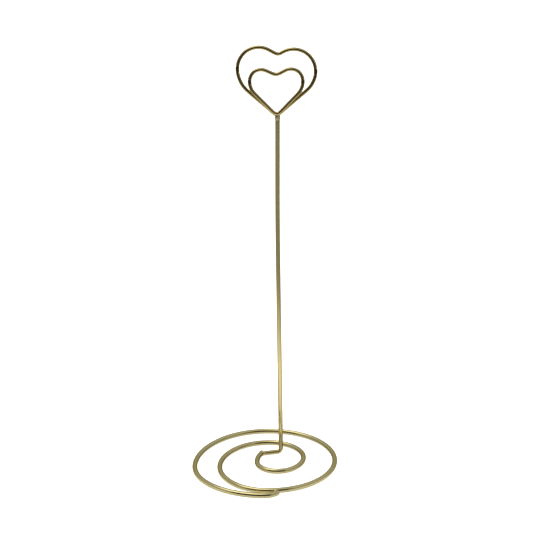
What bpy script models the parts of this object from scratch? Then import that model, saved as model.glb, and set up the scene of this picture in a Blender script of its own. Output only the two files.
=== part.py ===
"""Wire table number holder, in metres: a coiled base, an upright stem and a clip of two nested hearts.

The origin is on the table, under the middle of the coil's outline. +Z is up, the hearts face -Y and +X is to
the right of someone reading the card. Every wire is round and is swept along the middle line of its bends.
"""

import math

import bmesh
import bpy
from mathutils import Vector

MM = 0.001

# Wire gauges.
BASE_RADIUS = 1.35 * MM
STEM_RADIUS = 1.2 * MM
HEART_RADIUS = 0.95 * MM

# Clearance kept between pieces that touch or are welded on the real one.
TOUCH_GAP = 0.3 * MM

# The base wire, as it is bent: it starts at the outer end, curls in clockwise seen from above, and each
# following bend turns it one eighth of a turn at the radius listed. The last bend is shorter. Over the first half
# turn the radius is the one inside the bend, so the outer end moves out with the gauge and clears the turn beside
# it; from there on it is the radius of the wire's middle line.
TIP_BEND = (9.0 * MM, 50.0)
EIGHTH_TURN = 45.0
HALF_TURN_BENDS = 4
COIL_BEND_RADII = [
    radius * MM
    for radius in (
        37.65, 31.65, 43.65, 35.65, 35, 36, 37, 35, 24, 30, 31, 24, 18.8, 18.2, 18.7, 12.4, 10.4, 11.6
    )
]
END_BEND = (26.0 * MM, 26.0)

# The stem, as a step in X and Y from its joint to the coil's inner end: a foot leg on the table, a tight bend,
# then the upright.
LEG_STEP = (10.9 * MM, 2.8 * MM, 0.0)
LEG_BEND_RADIUS = 1.7 * MM
STEM_TOP = 184.0 * MM
STEM_KNEE_HEIGHT = 130.0 * MM
STEM_LEAN = -1.9 * MM
STEM_KNEE_RADIUS = 2600.0 * MM

# The hearts, each in its own upright plane: how far each V's corner is above the stem's top and to its left, then
# (across, up, bend radius) at the corners the wire is bent round, counted from the corner of the V.
HEART_PLANE = HEART_RADIUS + 0.2 * MM
HEART_SHIFT = -0.35 * MM
REAR_HEART_RISE = 1.5 * MM
REAR_HEART = (
    (0.0, 0.0, 1.8),
    (17.8, 15.3, 13.0),
    (26.3, 47.0, 11.0),
    (0.6, 30.4, 2.7),
    (-21.5, 42.7, 10.6),
    (-18.9, 16.2, 15.4),
)
FRONT_HEART_RISE = 2.0 * MM
FRONT_HEART = (
    (0.0, 0.0, 2.2),
    (13.1, 13.8, 8.9),
    (12.5, 27.1, 5.9),
    (-0.3, 20.2, 3.7),
    (-13.3, 26.1, 5.7),
    (-13.6, 13.7, 8.6),
)

# Weld beads, as half sizes of a rounded lump: along the wire, across it and upwards.
COIL_BEAD = (2.0 * MM, 1.6 * MM, 0.7 * MM)
FOOT_BEAD = (0.9 * MM, 1.35 * MM, 1.25 * MM)
CLIP_BEAD = (1.5 * MM, 1.5 * MM, 1.2 * MM)

# Where the beads sit: which point of the coil, how far along the gap to the leg, and how far above the stem's top.
COIL_BEAD_STEP = 2
FOOT_BEAD_PLACE = 0.7
CLIP_BEAD_RISE = 1.3 * MM

# Facets: steps in a bend, sides round a wire, and rings on a bead.
BEND_STEPS = 8
HEART_BEND_STEPS = 9
BEVEL_RESOLUTION = 4
SIDES = 2 * (BEVEL_RESOLUTION + 2)
BEAD_SEGMENTS = 16
BEAD_RINGS = 10

WELD_TOLERANCE = 0.001 * MM


def clear_scene():
    """Removes every object, so the build starts from nothing."""
    for old in list(bpy.data.objects):
        bpy.data.objects.remove(old, do_unlink=True)


def new_collection(name):
    collection = bpy.data.collections.new(name)
    bpy.context.scene.collection.children.link(collection)
    return collection


def plated_steel(name, colour, roughness):
    """A plated metal with the colour given as linear red, green and blue."""
    material = bpy.data.materials.new(name)
    material.use_nodes = True
    shader = material.node_tree.nodes["Principled BSDF"]
    shader.inputs["Base Color"].default_value = (*colour, 1.0)
    shader.inputs["Roughness"].default_value = roughness
    shader.inputs["Metallic"].default_value = 1.0
    return material


def coil_path():
    """The base wire's middle line, from its outer end inwards, with the middle of its outline over the origin."""
    radius, turn = TIP_BEND
    heading = math.pi + math.radians(turn)
    radii = [inside + BASE_RADIUS for inside in COIL_BEND_RADII[:HALF_TURN_BENDS]]
    radii += COIL_BEND_RADII[HALF_TURN_BENDS:]
    bends = [TIP_BEND, *((radius, EIGHTH_TURN) for radius in radii), END_BEND]
    points = [Vector((0.0, 0.0, BASE_RADIUS))]
    for radius, turn in bends:
        centre = points[-1] + radius * Vector((math.sin(heading), -math.cos(heading), 0.0))
        for _ in range(BEND_STEPS):
            heading -= math.radians(turn) / BEND_STEPS
            points.append(centre + radius * Vector((-math.sin(heading), math.cos(heading), 0.0)))
    across = [point.x for point in points]
    deep = [point.y for point in points]
    middle = Vector((max(across) + min(across), max(deep) + min(deep), 0.0)) / 2
    return [point - middle for point in points]


def rounded_corner(before, corner, after, radius, steps):
    """Points round one bend of a wire: an arc that touches both straight runs."""
    back = (before - corner).normalized()
    ahead = (after - corner).normalized()
    half = back.angle(ahead) / 2
    inward = (back + ahead).normalized()
    outward = (ahead - back).normalized()
    centre = corner + inward * (radius / math.sin(half))
    swing = math.pi / 2 - half
    points = []
    for step in range(steps + 1):
        angle = swing * (2 * step / steps - 1)
        points.append(centre + radius * (outward * math.sin(angle) - inward * math.cos(angle)))
    return points


def heart_path(corners, v_point):
    """A closed heart in the upright plane through v_point, bent round each of its corners in turn."""
    places = [v_point + Vector((across, 0.0, up)) * MM for across, up, _ in corners]
    points = []
    for index, (_, _, radius) in enumerate(corners):
        after = places[(index + 1) % len(places)]
        points += rounded_corner(places[index - 1], places[index], after, radius * MM, HEART_BEND_STEPS)
    return points


def leg_joint(coil):
    """The point on the base wire's middle line that the leg runs out from: its side is flush with the cut end."""
    course = (coil[-1] - coil[-2]).normalized()
    return coil[-1] - course * (STEM_RADIUS / math.sin(course.angle(Vector(LEG_STEP))))


def stem_path(coil):
    """The stem's middle line: a leg along the table from the coil's inner end, a tight bend, then the upright.

    The leg starts where its cut end just clears the side of the base wire.
    """
    joint = leg_joint(coil)
    foot = joint + Vector(LEG_STEP)
    leg = (foot - joint).normalized()
    angle = leg.angle(coil[-1] - coil[-2])
    setback = (BASE_RADIUS + TOUCH_GAP + STEM_RADIUS * math.cos(angle)) / math.sin(angle)
    leg_start = joint + leg * setback
    knee = Vector((foot.x + STEM_LEAN, foot.y, STEM_KNEE_HEIGHT))
    top = Vector((knee.x, knee.y, STEM_TOP))
    bottom_bend = rounded_corner(leg_start, foot, knee, LEG_BEND_RADIUS, BEND_STEPS)
    knee_bend = rounded_corner(foot, knee, top, STEM_KNEE_RADIUS, BEND_STEPS)
    return [leg_start, *bottom_bend, *knee_bend, top]


def wire(name, points, radius, collection, closed=False, flat=False, origin=None):
    """A round wire swept along points, as a mesh whose flats lie at the radius.

    A flat wire has one flat facing down.
    """
    origin = origin or Vector((0.0, 0.0, 0.0))
    curve = bpy.data.curves.new(name, "CURVE")
    curve.dimensions = "3D"
    curve.resolution_u = 1
    curve.render_resolution_u = 0
    curve.twist_mode = "Z_UP" if flat else "MINIMUM"
    curve.bevel_depth = radius / math.cos(math.pi / SIDES)
    curve.bevel_resolution = BEVEL_RESOLUTION
    curve.use_fill_caps = True
    spline = curve.splines.new("POLY")
    spline.points.add(len(points) - 1)
    for place, point in zip(spline.points, points):
        place.co = (*(point - origin), 1.0)
        place.tilt = math.pi / SIDES if flat else 0.0
    spline.use_cyclic_u = closed
    swept = bpy.data.objects.new(name + "_sweep", curve)
    collection.objects.link(swept)
    bpy.context.view_layer.update()
    evaluated = swept.evaluated_get(bpy.context.evaluated_depsgraph_get())
    mesh = bpy.data.meshes.new_from_object(evaluated)
    mesh.name = name
    bpy.data.objects.remove(swept, do_unlink=True)
    tidy = bmesh.new()
    tidy.from_mesh(mesh)
    bmesh.ops.remove_doubles(tidy, verts=tidy.verts, dist=WELD_TOLERANCE)
    bmesh.ops.recalc_face_normals(tidy, faces=tidy.faces)
    tidy.to_mesh(mesh)
    tidy.free()
    made = bpy.data.objects.new(name, mesh)
    made.location = origin
    collection.objects.link(made)
    shade_sides(mesh)
    return made


def shade_sides(mesh):
    """Shades the round sides smooth and leaves the cut ends flat."""
    for face in mesh.polygons:
        face.use_smooth = len(face.vertices) <= 4


def clearance(name, points, radius, closed=False):
    """A hidden copy of a wire, fatter by the gap and longer by it at open ends, to cut beads back with."""
    points = list(points)
    if not closed:
        points[0] = points[0] + (points[0] - points[1]).normalized() * TOUCH_GAP
        points[-1] = points[-1] + (points[-1] - points[-2]).normalized() * TOUCH_GAP
    cutter = wire(name, points, radius + TOUCH_GAP, cutters, closed=closed)
    cutter.hide_render = True
    cutter.display_type = "WIRE"
    return cutter


def bead(name, centre, half_sizes, heading, cleared, material):
    """A weld bead: a rounded lump turned to its heading, cut back by the clearance round each wire it joins."""
    shape = bmesh.new()
    bmesh.ops.create_uvsphere(shape, u_segments=BEAD_SEGMENTS, v_segments=BEAD_RINGS, radius=1.0)
    bmesh.ops.scale(shape, vec=Vector(half_sizes), verts=shape.verts)
    mesh = bpy.data.meshes.new(name)
    shape.to_mesh(mesh)
    shape.free()
    for face in mesh.polygons:
        face.use_smooth = True
    made = bpy.data.objects.new(name, mesh)
    made.location = centre
    made.rotation_euler = (0.0, 0.0, heading)
    made.data.materials.append(material)
    parts.objects.link(made)
    for cutter in cleared:
        cut = made.modifiers.new("clear_" + cutter.name, "BOOLEAN")
        cut.operation = "DIFFERENCE"
        cut.solver = "EXACT"
        cut.object = cutter
    return made


clear_scene()
parts = new_collection("table_number_holder")
cutters = new_collection("cutters")
cutters.hide_render = True

BASE_PLATING = plated_steel("base_wire_plating", (0.60, 0.49, 0.28), 0.22)
STEM_PLATING = plated_steel("stem_plating", (0.58, 0.47, 0.26), 0.24)
HEART_PLATING = plated_steel("rear_heart_plating", (0.56, 0.45, 0.25), 0.22)
CLIP_PLATING = plated_steel("front_heart_plating", (0.57, 0.46, 0.25), 0.22)
BEAD_PLATING = plated_steel("weld_plating", (0.55, 0.44, 0.26), 0.35)

# Base and stem.
coil = coil_path()
base = wire("base_coil", coil, BASE_RADIUS, parts, flat=True)
base.data.materials.append(BASE_PLATING)
upright = stem_path(coil)
stem = wire("stem", upright, STEM_RADIUS, parts)
stem.data.materials.append(STEM_PLATING)
stem_top = upright[-1]

# The clip: the larger heart stands behind the smaller one, which turns about the bottom of its V when it is
# sprung open.
rear_v = stem_top + Vector((HEART_SHIFT, HEART_PLANE, REAR_HEART_RISE))
rear_path = heart_path(REAR_HEART, rear_v)
rear = wire("heart_rear", rear_path, HEART_RADIUS, parts, closed=True)
rear.data.materials.append(HEART_PLATING)
front_v = stem_top + Vector((HEART_SHIFT, -HEART_PLANE, FRONT_HEART_RISE))
front_path = heart_path(FRONT_HEART, front_v)
hinge = Vector((front_v.x, front_v.y, min(point.z for point in front_path)))
front = wire("heart_front", front_path, HEART_RADIUS, parts, closed=True, origin=hinge)
front.data.materials.append(CLIP_PLATING)

# Weld beads: the coil's outer end to its next turn, the leg to the coil's inner end, and both hearts to the stem.
outer_end = coil[COIL_BEAD_STEP]
near = min(range(HALF_TURN_BENDS * BEND_STEPS, len(coil)), key=lambda step: (coil[step] - outer_end).length)
clear_tip = clearance("outer_end_clearance", coil[:BEND_STEPS], BASE_RADIUS)
clear_turn = clearance("next_turn_clearance", coil[near - BEND_STEPS:near + BEND_STEPS], BASE_RADIUS)
clear_inner = clearance("inner_end_clearance", coil[-BEND_STEPS:], BASE_RADIUS)
clear_stem = clearance("stem_clearance", upright, STEM_RADIUS)
clear_rear = clearance("rear_heart_clearance", rear_path, HEART_RADIUS, closed=True)
clear_front = clearance("front_heart_clearance", front_path, HEART_RADIUS, closed=True)

run = coil[COIL_BEAD_STEP - 1] - coil[COIL_BEAD_STEP + 1]
groove = (outer_end + coil[near]) / 2 + Vector((0.0, 0.0, BASE_RADIUS / 2))
bead("weld_coil_end", groove, COIL_BEAD, math.atan2(run.y, run.x), [clear_tip, clear_turn], BEAD_PLATING)

leg = upright[0] - leg_joint(coil)
butt = leg_joint(coil) + leg * FOOT_BEAD_PLACE
bead("weld_stem_foot", butt, FOOT_BEAD, math.atan2(leg.y, leg.x), [clear_inner, clear_stem], BEAD_PLATING)

lump = stem_top + Vector((0.0, 0.0, CLIP_BEAD_RISE))
bead("weld_clip", lump, CLIP_BEAD, 0.0, [clear_stem, clear_rear, clear_front], BEAD_PLATING)
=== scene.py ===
"""Table number holder: the finished look of its plated wires and welds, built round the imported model."""

import math

import bmesh
import bpy
import numpy as np
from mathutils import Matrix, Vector


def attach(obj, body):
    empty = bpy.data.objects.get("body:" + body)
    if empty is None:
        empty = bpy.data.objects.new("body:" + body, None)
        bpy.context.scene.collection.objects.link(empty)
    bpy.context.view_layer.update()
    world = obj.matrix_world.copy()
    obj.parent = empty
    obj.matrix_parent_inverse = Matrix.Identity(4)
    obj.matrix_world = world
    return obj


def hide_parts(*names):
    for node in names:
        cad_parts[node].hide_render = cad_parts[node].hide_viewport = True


MM = 0.001

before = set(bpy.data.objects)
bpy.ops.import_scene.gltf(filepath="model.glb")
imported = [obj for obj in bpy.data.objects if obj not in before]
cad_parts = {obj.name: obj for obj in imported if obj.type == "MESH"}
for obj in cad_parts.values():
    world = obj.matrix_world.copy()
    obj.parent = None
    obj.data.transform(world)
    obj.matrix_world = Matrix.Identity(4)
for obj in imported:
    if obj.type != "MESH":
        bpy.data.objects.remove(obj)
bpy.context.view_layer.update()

# ---------------------------------------------------------------- sizes, as the wires are bent

BASE_RADIUS = 1.35 * MM
STEM_RADIUS = 1.2 * MM
HEART_RADIUS = 0.95 * MM

# The base wire, from its outer end inwards: a bend is (radius, degrees), and each of the listed radii, in
# millimetres, turns it one eighth of a turn.
TIP_BEND = (9.0 * MM, 50.0)
EIGHTH_TURN = 45.0
COIL_BEND_RADII = (39, 33, 45, 37, 35, 36, 37, 35, 24, 30, 31, 24, 18.8, 18.2, 18.7, 12.4, 10.4, 11.6)
END_BEND = (26.0 * MM, 26.0)

# The stem: how far its leg steps in X and Y over the table, then the upright with a very slight knee.
LEG_STEP = (10.9 * MM, 2.8 * MM)
LEG_BEND_RADIUS = 1.7 * MM
STEM_KNEE_HEIGHT = 130.0 * MM
STEM_LEAN = -1.9 * MM
STEM_KNEE_RADIUS = 2600.0 * MM
STEM_TOP = 184.0 * MM

# Each heart's corners, counted from the corner of its V: across, up and bend radius, in millimetres.
HEART_PLANE = HEART_RADIUS + 0.2 * MM
HEART_SHIFT = -0.35 * MM
REAR_HEART_RISE = 1.5 * MM
REAR_HEART = (
    (0.0, 0.0, 1.8),
    (17.8, 15.3, 13.0),
    (26.3, 47.0, 11.0),
    (0.6, 30.4, 2.7),
    (-21.5, 42.7, 10.6),
    (-18.9, 16.2, 15.4),
)
FRONT_HEART_RISE = 2.0 * MM
FRONT_HEART = (
    (0.0, 0.0, 2.2),
    (13.1, 13.8, 8.9),
    (12.5, 27.1, 5.9),
    (-0.3, 20.2, 3.7),
    (-13.3, 26.1, 5.7),
    (-13.6, 13.7, 8.6),
)

# How far each wire's bends are eased into one another.
BASE_EASE = 1.2 * MM
STEM_EASE = 0.5 * MM
HEART_EASE = 0.7 * MM

# How finely the wires are swept: the step along them, the sides round them, and the points in a bend or a
# corner.
STEP = 0.4 * MM
SIDES = 40
BEND_POINTS = 48
CORNER_POINTS = 24

# A cut end's edge is rounded over this many rings. Rings of the wire nearer to it than the margin are left out.
EDGE_ROUND = 0.12 * MM
RINGS_IN_CUT = 5
CUT_MARGIN = 1.5 * EDGE_ROUND

# The easing bell is cut off this many reaches from its middle.
BELL_CUT = 2.5

UP = np.array([0.0, 0.0, 1.0])
FACING = np.array([0.0, 1.0, 0.0])


# ---------------------------------------------------------------- paths

def unit(vectors):
    """Each row scaled to length one."""
    return vectors / np.linalg.norm(vectors, axis=-1, keepdims=True)


def run_along(path):
    """How far along a path each of its points is."""
    return np.concatenate([[0.0], np.cumsum(np.linalg.norm(np.diff(path, axis=0), axis=1))])


def even_steps(points, closed=False):
    """The same polyline with its points spaced evenly, about STEP apart along its length."""
    line = np.vstack([points, points[:1]]) if closed else np.asarray(points)
    run = run_along(line)
    count = int(round(run[-1] / STEP))
    places = np.linspace(0.0, run[-1], count + 1)
    spaced = np.stack([np.interp(places, run, line[:, axis]) for axis in range(3)], axis=1)
    return spaced[:-1] if closed else spaced


def eased(points, reach, closed=False):
    """The path averaged with a bell-shaped weight, so that one bend flows into the next.

    The weight of a point d away is e to the minus half of (d / reach) squared. Open ends are carried on by the
    path turned half round about its end point, so they stay where they are.
    """
    half = int(math.ceil(BELL_CUT * reach / STEP))
    offsets = np.arange(-half, half + 1)
    weights = np.exp(-0.5 * (offsets * STEP / reach) ** 2)
    weights /= weights.sum()
    if closed:
        padded = np.vstack([points[-half:], points, points[:half]])
    else:
        before = 2 * points[0] - points[half:0:-1]
        after = 2 * points[-1] - points[-2:-half - 2:-1]
        padded = np.vstack([before, points, after])
    return np.stack([np.convolve(padded[:, axis], weights, "valid") for axis in range(3)], axis=1)


def arc(start, heading, radius, turn):
    """Points round a bend on the table: a circle's arc that leaves start at heading and turns clockwise."""
    centre = start + radius * np.array([math.sin(heading), -math.cos(heading), 0.0])
    angles = heading - np.linspace(0.0, math.radians(turn), BEND_POINTS)[1:]
    return centre + radius * np.stack([-np.sin(angles), np.cos(angles), np.zeros_like(angles)], axis=1)


def coil_path():
    """The base wire's middle line, bend after bend from its outer end, its outline centred on the origin."""
    heading = math.pi + math.radians(TIP_BEND[1])
    bends = [TIP_BEND, *((radius * MM, EIGHTH_TURN) for radius in COIL_BEND_RADII), END_BEND]
    points = [np.array([[0.0, 0.0, BASE_RADIUS]])]
    for radius, turn in bends:
        points.append(arc(points[-1][-1], heading, radius, turn))
        heading -= math.radians(turn)
    line = np.vstack(points)
    line[:, :2] -= (line[:, :2].max(axis=0) + line[:, :2].min(axis=0)) / 2
    return line


def rounded_corner(before, corner, after, radius):
    """Points round one bend: the arc that touches both straight runs at a corner."""
    back, ahead = unit(before - corner), unit(after - corner)
    half = math.acos(np.clip(back @ ahead, -1.0, 1.0)) / 2
    inward, outward = unit(back + ahead), unit(ahead - back)
    centre = corner + inward * (radius / math.sin(half))
    angles = np.linspace(-1.0, 1.0, CORNER_POINTS)[:, None] * (math.pi / 2 - half)
    return centre + radius * (outward * np.sin(angles) - inward * np.cos(angles))


def heart_path(corners, v_point):
    """A heart's closed middle line in its upright plane: straight runs joined by a bend at each corner.

    It starts at the bottom of the V, so that the seam in its finish is inside the weld.
    """
    places = [v_point + np.array([across, 0.0, up]) * MM for across, up, _ in corners]
    bends = [
        rounded_corner(places[index - 1], place, places[(index + 1) % len(places)], corners[index][2] * MM)
        for index, place in enumerate(places)
    ]
    line = np.vstack(bends)
    lowest = line[:, 2].argmin()
    return np.roll(line, -lowest, axis=0)


def leg_joint(coil):
    """The point on the base wire's middle line that the leg runs out from, its side flush with the cut end."""
    course, leg = unit(coil[-1] - coil[-2]), unit(np.array([*LEG_STEP, 0.0]))
    return coil[-1] - course * (STEM_RADIUS / np.linalg.norm(np.cross(course, leg)))


def stem_path(joint):
    """The stem's middle line: a leg along the table, a tight bend up and an upright with a slight knee."""
    foot = joint + np.array([*LEG_STEP, 0.0])
    knee = np.array([foot[0] + STEM_LEAN, foot[1], STEM_KNEE_HEIGHT])
    top = np.array([knee[0], knee[1], STEM_TOP])
    return np.vstack([
        joint[None],
        rounded_corner(joint, foot, knee, LEG_BEND_RADIUS),
        rounded_corner(foot, knee, top, STEM_KNEE_RADIUS),
        top[None],
    ])


# ---------------------------------------------------------------- surfaces

def add_piece(name, vertices, faces):
    """A smooth-shaded mesh object in the scene, with its origin at the world's."""
    mesh = bpy.data.meshes.new(name)
    mesh.from_pydata(vertices.tolist(), [], faces)
    mesh.validate()
    mesh.polygons.foreach_set("use_smooth", np.full(len(mesh.polygons), True))
    piece = bpy.data.objects.new(name, mesh)
    bpy.context.scene.collection.objects.link(piece)
    return piece


def grid_faces(rows, columns, wrap_rows):
    """Quads between the rings of a grid: each ring closes on itself, and the last row may join the first."""
    row = np.arange(rows if wrap_rows else rows - 1)[:, None]
    column = np.arange(columns)[None, :]
    above, beside = (row + 1) % rows, (column + 1) % columns
    quads = np.stack([
        row * columns + column,
        row * columns + beside,
        above * columns + beside,
        above * columns + column,
    ], axis=-1)
    return quads.reshape(-1, 4).tolist()


def cut_ends(path, tangents, radius):
    """A path, its directions and its radii, with rings added at both cut ends.

    Going in from a cut the radius rises from (radius - edge) to radius as edge * sin q while the ring moves in
    by edge * (1 - cos q), for q from nothing to a quarter turn.
    """
    run = run_along(path)
    quarter = np.linspace(0.0, math.pi / 2, RINGS_IN_CUT)
    keep = (run > CUT_MARGIN) & (run < run[-1] - CUT_MARGIN)
    inset = EDGE_ROUND * (1 - np.cos(quarter))
    rim = radius - EDGE_ROUND + EDGE_ROUND * np.sin(quarter)
    head = path[0] + tangents[0] * inset[:, None]
    tail = path[-1] - tangents[-1] * inset[::-1, None]
    ends = np.repeat(tangents[:1], RINGS_IN_CUT, 0), np.repeat(tangents[-1:], RINGS_IN_CUT, 0)
    radii = np.concatenate([rim, np.full(len(path), radius)[keep], rim[::-1]])
    return np.vstack([head, path[keep], tail]), np.vstack([ends[0], tangents[keep], ends[1]]), radii


def wire_surface(name, path, radius, side, closed=False):
    """A round wire: a circle carried along a path, square to it. Each cut has a rounded edge and a flat face.

    A point is path(s) + r(s) (cos t * across + sin t * up), where across is the side vector made square to the
    path and up is square to both. The attribute wire_place keeps (r cos t, r sin t, s) for the finish to follow.
    """
    if closed:
        tangents = unit(np.roll(path, -1, axis=0) - np.roll(path, 1, axis=0))
        radii = np.full(len(path), radius)
    else:
        path, tangents, radii = cut_ends(path, unit(np.gradient(path, axis=0)), radius)
    run = run_along(path)
    side = np.broadcast_to(np.asarray(side, float), path.shape)
    across = unit(side - (side * tangents).sum(axis=1, keepdims=True) * tangents)
    up = np.cross(tangents, across)
    turn = np.arange(SIDES) * (2 * math.pi / SIDES)
    circle = radii[:, None, None] * (np.cos(turn)[None, :, None] * across[:, None]
                                     + np.sin(turn)[None, :, None] * up[:, None])
    vertices = (path[:, None] + circle).reshape(-1, 3)
    place = np.stack([
        radii[:, None] * np.cos(turn),
        radii[:, None] * np.sin(turn),
        np.broadcast_to(run[:, None], (len(run), SIDES)),
    ], axis=-1).reshape(-1, 3)
    faces = grid_faces(len(path), SIDES, closed)
    if not closed:
        start_cap = np.arange(SIDES)[::-1].tolist()
        end_cap = (np.arange(SIDES) + (len(path) - 1) * SIDES).tolist()
        faces += [start_cap, end_cap]
    piece = add_piece(name, vertices, faces)
    if not closed:
        smooth = np.ones(len(piece.data.polygons), dtype=bool)
        smooth[-2:] = False
        piece.data.polygons.foreach_set("use_smooth", smooth)
    attribute = piece.data.attributes.new("wire_place", "FLOAT_VECTOR", "POINT")
    attribute.data.foreach_set("vector", place.astype(np.float32).ravel())
    return piece


def add_lump(name, vertices):
    """A closed surface from a grid of rings whose first and last rings have shrunk to a point."""
    rows, columns = vertices.shape[:2]
    inner = vertices[1:-1].reshape(-1, 3)
    poles = np.stack([vertices[0].mean(axis=0), vertices[-1].mean(axis=0)])
    faces = grid_faces(rows - 2, columns, False)
    last = (rows - 3) * columns
    column = np.arange(columns)
    beside = (column + 1) % columns
    start_pole, end_pole = len(inner), len(inner) + 1
    faces += np.stack([np.full(columns, start_pole), beside, column], axis=1).tolist()
    faces += np.stack([np.full(columns, end_pole), last + column, last + beside], axis=1).tolist()
    piece = add_piece(name, np.vstack([inner, poles]), faces)
    outwards(piece)
    return piece


def outwards(piece):
    """Turns every face of a closed piece to point out of it."""
    shape = bmesh.new()
    shape.from_mesh(piece.data)
    bmesh.ops.recalc_face_normals(shape, faces=shape.faces)
    shape.to_mesh(piece.data)
    shape.free()


# A weld nugget: its points across, how far it runs down over each wire beyond the fillet as a share of the
# wire's radius, how steeply it does so, and how uneven its top is.
NUGGET_POINTS = 15
NUGGET_OVERLAP = 0.45
NUGGET_SLOPE = 1.2
NUGGET_UNEVEN = 0.05


def weld_between(name, first, second, fillet):
    """A weld nugget that fills the groove between two wires lying side by side.

    Across the groove its top is the arc of a fillet that touches both wires, H - sqrt(fillet^2 - u^2), where H
    is the height of the fillet's middle, and beyond where it touches them it slopes down over them. Its
    underside is that line turned over. Two waves along it and across it make its top uneven. Along the wires
    the section shrinks as the square root of one minus the square of the distance from the middle, so both ends
    close in a point.
    """
    along = np.linspace(-1.0, 1.0, len(first))[:, None]
    gap_line = second - first
    gap = np.linalg.norm(gap_line, axis=1)
    across = gap_line / gap[:, None]
    height = np.sqrt(np.maximum((BASE_RADIUS + fillet) ** 2 - (gap / 2) ** 2, 0.0))
    touch = (fillet * (gap / 2) / (BASE_RADIUS + fillet))[:, None]
    share = np.linspace(-1.0, 1.0, NUGGET_POINTS)
    u = share[None, :] * (touch + NUGGET_OVERLAP * BASE_RADIUS)
    within = np.clip(np.abs(u) / touch, 0.0, 1.0)
    top = height[:, None] - np.sqrt(np.maximum(fillet ** 2 - (within * touch) ** 2, 0.0))
    top = top - np.maximum(np.abs(u) - touch, 0.0) * NUGGET_SLOPE
    swell = np.sqrt(np.maximum(1 - along ** 2, 0.0))
    waves = np.sin(5.1 * along + 2.3 * share) + np.sin(9.7 * along - 3.9 * share + 1.7)
    uneven = 1 + NUGGET_UNEVEN * waves / 2
    ring_u = np.hstack([u, u[:, ::-1]]) * swell
    ring_z = np.hstack([top * uneven, -top[:, ::-1]]) * swell
    middle = (first + second) / 2
    vertices = middle[:, None] + across[:, None] * ring_u[..., None]
    vertices[..., 2] += ring_z
    return add_lump(name, vertices)


def collar(name, start, axis, side, profile, rough):
    """A weld collar: a profile of (distance along, radius) pairs turned round an axis.

    Its radius is made uneven by two waves, of three and of five lobes, that twist along the axis.
    """
    turn = np.arange(SIDES) * (2 * math.pi / SIDES)
    across = unit(side - (side @ axis) * axis)
    up = np.cross(axis, across)
    along = profile[:, :1]
    waves = np.sin(3 * turn + 900 * along) + np.sin(5 * turn - 1700 * along + 1.1)
    radii = profile[:, 1:] * (1 + rough * waves / 2)
    vertices = (start + along[..., None] * axis
                + radii[..., None] * (np.cos(turn)[:, None] * across + np.sin(turn)[:, None] * up))
    return add_lump(name, vertices)


def nearest_points(points, line):
    """For each point, the nearest point of a line."""
    apart = np.linalg.norm(points[:, None] - line[None], axis=2)
    return line[apart.argmin(axis=1)]


def resampled(line, count):
    """The line with count points, spaced evenly by their place in its list."""
    places = np.linspace(0.0, 1.0, count)
    listed = np.linspace(0.0, 1.0, len(line))
    return np.stack([np.interp(places, listed, line[:, axis]) for axis in range(line.shape[1])], axis=1)


PROFILE_POINTS = 26


def smooth_profile(knots):
    """A profile through (along, radius) knots in millimetres, eased by averaging so that it has no corners."""
    line = resampled(np.array(knots) * MM, PROFILE_POINTS)
    eased_line = line.copy()
    eased_line[1:-1] = (line[:-2] + 2 * line[1:-1] + line[2:]) / 4
    return eased_line


# ---------------------------------------------------------------- camera

AIM = Vector((6.34, 12.96, 100.88)) * MM
CAMERA_RISE = math.radians(18.02)
CAMERA_DISTANCE = 676.6 * MM
FILM_WIDTH = 36.0
FOCAL_OVER_WIDTH = 1300.0 / 554.0

camera_data = bpy.data.cameras.new("camera")
camera_data.lens = FOCAL_OVER_WIDTH * FILM_WIDTH
camera_data.sensor_width = FILM_WIDTH
camera = bpy.data.objects.new("camera", camera_data)
bpy.context.scene.collection.objects.link(camera)
away = Vector((0.0, -math.cos(CAMERA_RISE), math.sin(CAMERA_RISE)))
camera_place = AIM + away * CAMERA_DISTANCE
camera.location = camera_place
camera.rotation_euler = (AIM - camera_place).to_track_quat("-Z", "Y").to_euler()
bpy.context.scene.camera = camera
bpy.context.scene.view_settings.view_transform = "Standard"


# ---------------------------------------------------------------- finishes

def linear(hex_colour):
    """An sRGB hex colour as linear red, green, blue and alpha."""
    channels = [int(hex_colour[index:index + 2], 16) / 255 for index in (1, 3, 5)]
    return (*[c / 12.92 if c <= 0.04045 else ((c + 0.055) / 1.055) ** 2.4 for c in channels], 1.0)


def new_material(name):
    """A material with nodes, and its node tree."""
    material = bpy.data.materials.new(name)
    material.use_nodes = True
    return material, material.node_tree


def add_node(tree, kind, links=None, **settings):
    """Adds a node, sets its properties and its sockets by name, and links its inputs from other nodes."""
    node = tree.nodes.new(kind)
    for key, value in settings.items():
        if hasattr(node, key):
            setattr(node, key, value)
        else:
            node.inputs[key.replace("_", " ")].default_value = value
    for socket, output in (links or {}).items():
        tree.links.new(output, node.inputs[socket])
    return node


def worked_out(tree, operation, first, second=None):
    """The output of one sum. What goes in is another node's output, or a number."""
    node = add_node(tree, "ShaderNodeMath", operation=operation)
    for index, source in enumerate((first, second)):
        if isinstance(source, bpy.types.NodeSocket):
            tree.links.new(source, node.inputs[index])
        elif source is not None:
            node.inputs[index].default_value = source
    return node.outputs["Value"]


def smooth_step(tree, value, start, stop, low=0.0, high=1.0):
    """The output of a ramp that eases from low to high while the value goes from start to stop."""
    ramp = add_node(tree, "ShaderNodeMapRange", {"Value": value}, interpolation_type="SMOOTHSTEP",
                    From_Min=start, From_Max=stop, To_Min=low, To_Max=high)
    return ramp.outputs["Result"]


LINE_SPACING = 0.3 * MM
LINE_LENGTH = 12 * MM
CLOUD_SIZE = 9 * MM
LINE_DEPTH = 0.01 * MM
LINE_STRENGTH = 0.1
SMOOTHER = 0.03
DULLER = 0.04


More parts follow.
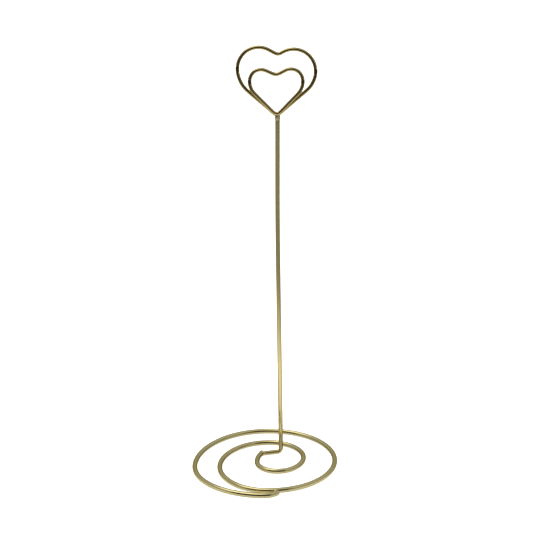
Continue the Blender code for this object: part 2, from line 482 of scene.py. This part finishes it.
def plated_wire(name, colour, deep_colour, edge_colour, roughness):
    """Bright pale-gold electroplate over drawn steel wire.

    The plate copies the wire under it, so the eye gets sharp dark and pale strips that run along the wire, drawn
    out a little by very fine lines, and a tone that changes slowly where the plate is thinner.
    """
    material, tree = new_material(name)
    shader = tree.nodes["Principled BSDF"]
    shader.inputs["Metallic"].default_value = 1.0
    shader.inputs["Specular Tint"].default_value = linear(edge_colour)
    place = add_node(tree, "ShaderNodeAttribute", attribute_name="wire_place")
    # Drawing lines: close together round the wire and long along it.
    lines_place = add_node(tree, "ShaderNodeMapping", {"Vector": place.outputs["Vector"]},
                           Scale=(1 / LINE_SPACING, 1 / LINE_SPACING, 1 / LINE_LENGTH))
    lines = add_node(tree, "ShaderNodeTexNoise", {"Vector": lines_place.outputs["Vector"]},
                     Scale=1.0, Detail=3.0, Roughness=0.6)
    # Tone: slow cloudy changes.
    cloud = add_node(tree, "ShaderNodeTexNoise", {"Vector": place.outputs["Vector"]},
                     Scale=1 / CLOUD_SIZE, Detail=2.0)
    tone = add_node(tree, "ShaderNodeMix", {"Factor": cloud.outputs["Fac"]}, data_type="RGBA",
                    A=linear(deep_colour), B=linear(colour))
    tree.links.new(tone.outputs["Result"], shader.inputs["Base Color"])
    dull = add_node(tree, "ShaderNodeMapRange", {"Value": lines.outputs["Fac"]},
                    To_Min=roughness - SMOOTHER, To_Max=roughness + DULLER)
    tree.links.new(dull.outputs["Result"], shader.inputs["Roughness"])
    relief = add_node(tree, "ShaderNodeBump", {"Height": lines.outputs["Fac"]},
                      Strength=LINE_STRENGTH, Distance=LINE_DEPTH)
    tree.links.new(relief.outputs["Normal"], shader.inputs["Normal"])
    return material


GOLD = plated_wire("pale_gold_plated_base_wire", "#C9BF8E", "#C1B684", "#CBC09A", 0.09)
STEM_GOLD = plated_wire("pale_gold_plated_stem_wire", "#CBBD88", "#C3B47D", "#C9BC96", 0.09)
# Painted shade: the hearts carry the same plating as the base, but their base colour is darker and browner,
# standing in for the darker surroundings they mirror.
THIN_GOLD_PAINTED_SHADE = plated_wire("pale_gold_plated_thin_wire_painted_shade", "#BEAE7A", "#B3A26F", "#C9BC96", 0.08)
# Painted highlight: the welds' paler base colour stands in for the bright glints on them. Their rougher finish
# is their own.
WELD_GOLD_PAINTED_HIGHLIGHT = plated_wire("pale_gold_plated_weld_painted_highlight", "#DACDA4", "#C8B98C", "#D2C6A2", 0.24)


# ---------------------------------------------------------------- the holder

coil_line = eased(even_steps(coil_path()), BASE_EASE)
base = wire_surface("base_wire", coil_line, BASE_RADIUS, UP)
base.data.materials.append(GOLD)
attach(base, "stand")
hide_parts("base_coil")

joint = leg_joint(coil_path())
leg_course = unit(np.array([*LEG_STEP, 0.0]))
leg_side = np.cross(leg_course, UP)
stem_line = eased(even_steps(stem_path(joint)), STEM_EASE)
stem = wire_surface("stem_wire", stem_line, STEM_RADIUS, leg_side)
stem.data.materials.append(STEM_GOLD)
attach(stem, "stand")
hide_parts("stem")

stem_top = stem_line[-1]
rear_v = stem_top + np.array([HEART_SHIFT, HEART_PLANE, REAR_HEART_RISE])
rear_line = eased(even_steps(heart_path(REAR_HEART, rear_v), closed=True), HEART_EASE, closed=True)
rear = wire_surface("rear_heart_wire", rear_line, HEART_RADIUS, FACING, closed=True)
rear.data.materials.append(THIN_GOLD_PAINTED_SHADE)
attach(rear, "stand")
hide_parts("heart_rear")

front_v = stem_top + np.array([HEART_SHIFT, -HEART_PLANE, FRONT_HEART_RISE])
front_line = eased(even_steps(heart_path(FRONT_HEART, front_v), closed=True), HEART_EASE, closed=True)
front = wire_surface("front_heart_wire", front_line, HEART_RADIUS, FACING, closed=True)
front.data.materials.append(THIN_GOLD_PAINTED_SHADE)
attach(front, "front_clip")
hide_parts("heart_front")

# ---------------------------------------------------------------- welds

# The nugget lies along the first of the coil, beside the next turn, which is past the first quarter of the wire.
NUGGET_LENGTH = 3.2 * MM
NUGGET_FILLET = 1.1 * MM
NUGGET_RINGS = 24
PAST_FIRST_TURN = len(coil_line) // 4

# The collars, as (along, radius) in millimetres, and how uneven each is.
FOOT_WELD = (
    (0.2, 0.0), (0.4, 1.0), (1.0, 1.42), (1.5, 1.36), (2.0, 1.2), (2.6, 1.12), (2.9, 1.0), (2.9, 0.0),
)
FOOT_UNEVEN = 0.02
CLIP_WELD = (
    (-0.5, 0.0), (-0.5, 1.15), (0.1, 1.32), (0.8, 1.4), (1.6, 1.42), (2.3, 1.4), (2.9, 1.25), (3.3, 0.8),
    (3.4, 0.0),
)
CLIP_UNEVEN = 0.03

tip_line = resampled(coil_line[:int(NUGGET_LENGTH / STEP)], NUGGET_RINGS)
facing_turn = nearest_points(tip_line, coil_line[PAST_FIRST_TURN:])
nugget = weld_between("weld_outer_end", tip_line, facing_turn, NUGGET_FILLET)
nugget.data.materials.append(WELD_GOLD_PAINTED_HIGHLIGHT)
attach(nugget, "stand")
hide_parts("weld_coil_end")

foot_weld = collar("weld_foot", joint, leg_course, UP, smooth_profile(FOOT_WELD), FOOT_UNEVEN)
foot_weld.data.materials.append(WELD_GOLD_PAINTED_HIGHLIGHT)
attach(foot_weld, "stand")
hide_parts("weld_stem_foot")

clip_weld = collar("weld_under_hearts", stem_top, UP, FACING, smooth_profile(CLIP_WELD), CLIP_UNEVEN)
clip_weld.data.materials.append(WELD_GOLD_PAINTED_HIGHLIGHT)
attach(clip_weld, "stand")
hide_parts("weld_clip")

# ---------------------------------------------------------------- table

TABLE_HALF = 6.0
TABLE_GLOW = 0.85


def flat_sheet(name, corners):
    """One flat four-cornered sheet."""
    return add_piece(name, np.array(corners), [[0, 1, 2, 3]])


def level_sheet(name, half, height):
    """A square sheet lying level over the origin."""
    return flat_sheet(name, [[-half, -half, height], [half, -half, height], [half, half, height],
                             [-half, half, height]])


def opal_table():
    """Opal acrylic lit from under: a plain pale surface that gives no edge and no shadow of its own."""
    material, tree = new_material("opal_acrylic_light_table")
    shader = tree.nodes["Principled BSDF"]
    shader.inputs["Base Color"].default_value = linear("#F4F3F1")
    shader.inputs["Roughness"].default_value = 0.9
    shader.inputs["Emission Color"].default_value = linear("#FFFFFF")
    shader.inputs["Emission Strength"].default_value = TABLE_GLOW
    return material


floor = level_sheet("floor", TABLE_HALF, 0.0)
floor.data.materials.append(opal_table())

# ---------------------------------------------------------------- room

WALL_LIGHT = 0.42
CEILING_LIGHT = 0.68
CEILING_RISE = 0.9

# The dark side of the room: its colour, the bearing of its middle, and where it fades out sideways and upwards.
DARK_LIGHT = (0.05, 0.035, 0.012, 1.0)
DARK_BEARING = math.radians(10)
DARK_ASIDE = (math.radians(32), math.radians(50))
DARK_UP = (math.radians(32), math.radians(44))

# The softbox overhead: which way it is, how wide it is before it fades and where it has faded, and its strength.
BOX_DIRECTION = (-0.30, 0.0, 0.95)
BOX_SPREAD = (math.radians(8), math.radians(30))
BOX_LIGHT = 1.5
BOX_COLOUR = "#FFF7EA"


def grey_ramp(tree, value, stops):
    """The output of a ramp of greys: pairs of place and grey, in order."""
    node = add_node(tree, "ShaderNodeValToRGB", {"Fac": value})
    ends = (stops[0], stops[-1])
    for element, (place, grey) in zip(node.color_ramp.elements, ends):
        element.position = place
        element.color = (grey, grey, grey, 1)
    for place, grey in stops[1:-1]:
        node.color_ramp.elements.new(place).color = (grey, grey, grey, 1)
    return node.outputs["Color"]


def light_room():
    """A soft studio room: grey walls, a paler ceiling, a dark side behind the camera and a softbox overhead."""
    world = bpy.data.worlds.new("studio")
    bpy.context.scene.world = world
    world.use_nodes = True
    tree = world.node_tree
    direction = add_node(tree, "ShaderNodeTexCoord").outputs["Generated"]
    split = add_node(tree, "ShaderNodeSeparateXYZ", {"Vector": direction})
    walls = grey_ramp(tree, split.outputs["Z"], ((0.0, WALL_LIGHT), (CEILING_RISE, CEILING_LIGHT)))
    bearing = worked_out(tree, "ARCTANGENT",
                         worked_out(tree, "DIVIDE", split.outputs["X"], split.outputs["Y"]))
    aside = worked_out(tree, "ABSOLUTE", worked_out(tree, "SUBTRACT", bearing, DARK_BEARING))
    sideways = smooth_step(tree, aside, *DARK_ASIDE, low=1.0, high=0.0)
    upwards = smooth_step(tree, split.outputs["Z"], *map(math.sin, DARK_UP), low=1.0, high=0.0)
    in_front = worked_out(tree, "LESS_THAN", split.outputs["Y"], 0.0)
    dark = worked_out(tree, "MULTIPLY", worked_out(tree, "MULTIPLY", sideways, upwards), in_front)
    room = add_node(tree, "ShaderNodeMix", {"Factor": dark, "A": walls}, data_type="RGBA", B=DARK_LIGHT)
    toward_box = add_node(tree, "ShaderNodeVectorMath", {0: direction}, operation="DOT_PRODUCT")
    toward_box.inputs[1].default_value = Vector(BOX_DIRECTION).normalized()
    glow = smooth_step(tree, toward_box.outputs["Value"], math.cos(BOX_SPREAD[1]), math.cos(BOX_SPREAD[0]),
                       high=BOX_LIGHT)
    box = add_node(tree, "ShaderNodeVectorMath", {"Scale": glow}, operation="SCALE")
    box.inputs[0].default_value = linear(BOX_COLOUR)[:3]
    lit = add_node(tree, "ShaderNodeVectorMath", {0: room.outputs["Result"], 1: box.outputs["Vector"]},
                   operation="ADD")
    tree.links.new(lit.outputs["Vector"], tree.nodes["Background"].inputs["Color"])


light_room()

# ---------------------------------------------------------------- dark sheets that only the wires mirror: painted dark reflections

# A sheet just above the table that only the wires' reflections see: painted dark reflection. How dark it is goes
# by the distance from the holder, in metres.
SHADE_SHEET_HALF = 3.0
SHADE_SHEET_HEIGHT = 0.05 * MM
SHADE_REACH = 2.0
SHADE_BY_DISTANCE = (
    (0.05, 0.40), (0.09, 0.25), (0.12, 0.27), (0.18, 0.50), (0.27, 0.75), (0.36, 0.79), (0.90, 0.79),
    (1.04, 0.95),
)

# Seen at a slant it is painted darker: in front of and behind the holder, between these slants.
SLANT_SHADE = (0.24, 0.68)
SLANT_DEPTH = (-0.03, 0.0)
SLANT = (0.3, 0.5)

# Seen at a grazing slant it is painted nearly black, close under the holder.
GRAZING = (0.72, 0.84)
GRAZING_ASIDE = (0.036, 0.020)
GRAZING_NEAR = (0.10, 0.06)
GRAZING_SHADE = 0.92

# The card upright in front of the holder and the ledge that runs back from it, which only the wires mirror:
# painted dark reflections.
REFLECTED_DARK = "#2A241A"
CARD_ASIDE = (-0.42, 0.30)
CARD_PLACE = -0.36
CARD_BOTTOM = 0.13
CARD_TOP = 0.48
LEDGE_HALF = 0.4
LEDGE_HEIGHT = 0.185
LEDGE_BACK = -0.02


def painted_reflection_shade():
    """Painted dark reflection: a sheet part black and part clear by distance and by the slant it is seen at,
    which shows only as the darker strips the wires mirror.
    """
    material, tree = new_material("painted_reflection_shade")
    tree.nodes.remove(tree.nodes["Principled BSDF"])
    spot = add_node(tree, "ShaderNodeTexCoord").outputs["Object"]
    split = add_node(tree, "ShaderNodeSeparateXYZ", {"Vector": spot})
    distance = add_node(tree, "ShaderNodeVectorMath", {0: spot}, operation="LENGTH").outputs["Value"]
    shade_by_distance = grey_ramp(tree, worked_out(tree, "DIVIDE", distance, SHADE_REACH),
                      [(far / SHADE_REACH, thick) for far, thick in SHADE_BY_DISTANCE])
    slant = add_node(tree, "ShaderNodeLayerWeight", Blend=0.5).outputs["Facing"]
    behind = smooth_step(tree, split.outputs["Y"], *SLANT_DEPTH, *SLANT_SHADE)
    slanted = worked_out(tree, "MULTIPLY", smooth_step(tree, slant, *SLANT), behind)
    aside = worked_out(tree, "ABSOLUTE", split.outputs["X"])
    close = smooth_step(tree, aside, *GRAZING_ASIDE, high=GRAZING_SHADE)
    grazing = worked_out(tree, "MULTIPLY", smooth_step(tree, slant, *GRAZING), close)
    grazing_near = worked_out(tree, "MULTIPLY", grazing, smooth_step(tree, distance, *GRAZING_NEAR))
    painted_dark = worked_out(tree, "MAXIMUM", shade_by_distance, worked_out(tree, "MAXIMUM", slanted, grazing_near))
    see_through = add_node(tree, "ShaderNodeBsdfTransparent")
    black_emission = add_node(tree, "ShaderNodeEmission", Strength=0.0)
    mixed = add_node(tree, "ShaderNodeMixShader",
                     {0: painted_dark, 1: see_through.outputs["BSDF"], 2: black_emission.outputs["Emission"]})
    tree.links.new(mixed.outputs["Shader"], tree.nodes["Material Output"].inputs["Surface"])
    return material


def dark_reflection_sheet(name):
    """A dull near-black that mirrors nothing, for the sheets that paint dark reflections."""
    material, tree = new_material(name)
    tree.nodes["Principled BSDF"].inputs["Base Color"].default_value = linear(REFLECTED_DARK)
    tree.nodes["Principled BSDF"].inputs["Roughness"].default_value = 1.0
    return material


def dark_reflection_from_above():
    """The same dull near-black on a sheet that is clear from under, so only wires above it mirror it as a
    painted dark reflection.
    """
    material = dark_reflection_sheet("dark_reflection_from_above")
    tree = material.node_tree
    under = add_node(tree, "ShaderNodeNewGeometry").outputs["Backfacing"]
    clear = add_node(tree, "ShaderNodeBsdfTransparent")
    mixed = add_node(tree, "ShaderNodeMixShader",
                     {0: under, 1: tree.nodes["Principled BSDF"].outputs["BSDF"], 2: clear.outputs["BSDF"]})
    tree.links.new(mixed.outputs["Shader"], tree.nodes["Material Output"].inputs["Surface"])
    return material


def mirrored_only(sheet, material):
    """Hides a sheet from everything but the wires' reflections."""
    sheet.data.materials.append(material)
    sheet.visible_camera = False
    sheet.visible_diffuse = False
    sheet.visible_shadow = False


# Painted dark reflection: a level sheet that only the wires mirror.
shade = level_sheet("front_shade", SHADE_SHEET_HALF, SHADE_SHEET_HEIGHT)
mirrored_only(shade, painted_reflection_shade())

# Painted dark reflections: an upright card and a ledge that only the wires mirror.
card = flat_sheet("black_card", [
    [CARD_ASIDE[0], CARD_PLACE, CARD_BOTTOM], [CARD_ASIDE[1], CARD_PLACE, CARD_BOTTOM],
    [CARD_ASIDE[1], CARD_PLACE, CARD_TOP], [CARD_ASIDE[0], CARD_PLACE, CARD_TOP],
])
mirrored_only(card, dark_reflection_sheet("dark_reflection_sheet"))

ledge = flat_sheet("black_ledge", [
    [-LEDGE_HALF, CARD_PLACE, LEDGE_HEIGHT], [LEDGE_HALF, CARD_PLACE, LEDGE_HEIGHT],
    [LEDGE_HALF, LEDGE_BACK, LEDGE_HEIGHT], [-LEDGE_HALF, LEDGE_BACK, LEDGE_HEIGHT],
])
mirrored_only(ledge, dark_reflection_from_above())

# ---------------------------------------------------------------- overhead light

fill_data = bpy.data.lights.new("overhead_fill", "SUN")
fill_data.energy = 0.9
fill_data.angle = math.radians(80)
fill = bpy.data.objects.new("overhead_fill", fill_data)
bpy.context.scene.collection.objects.link(fill)
fill.rotation_euler = (math.radians(-10), math.radians(10), 0)
fill.visible_glossy = False
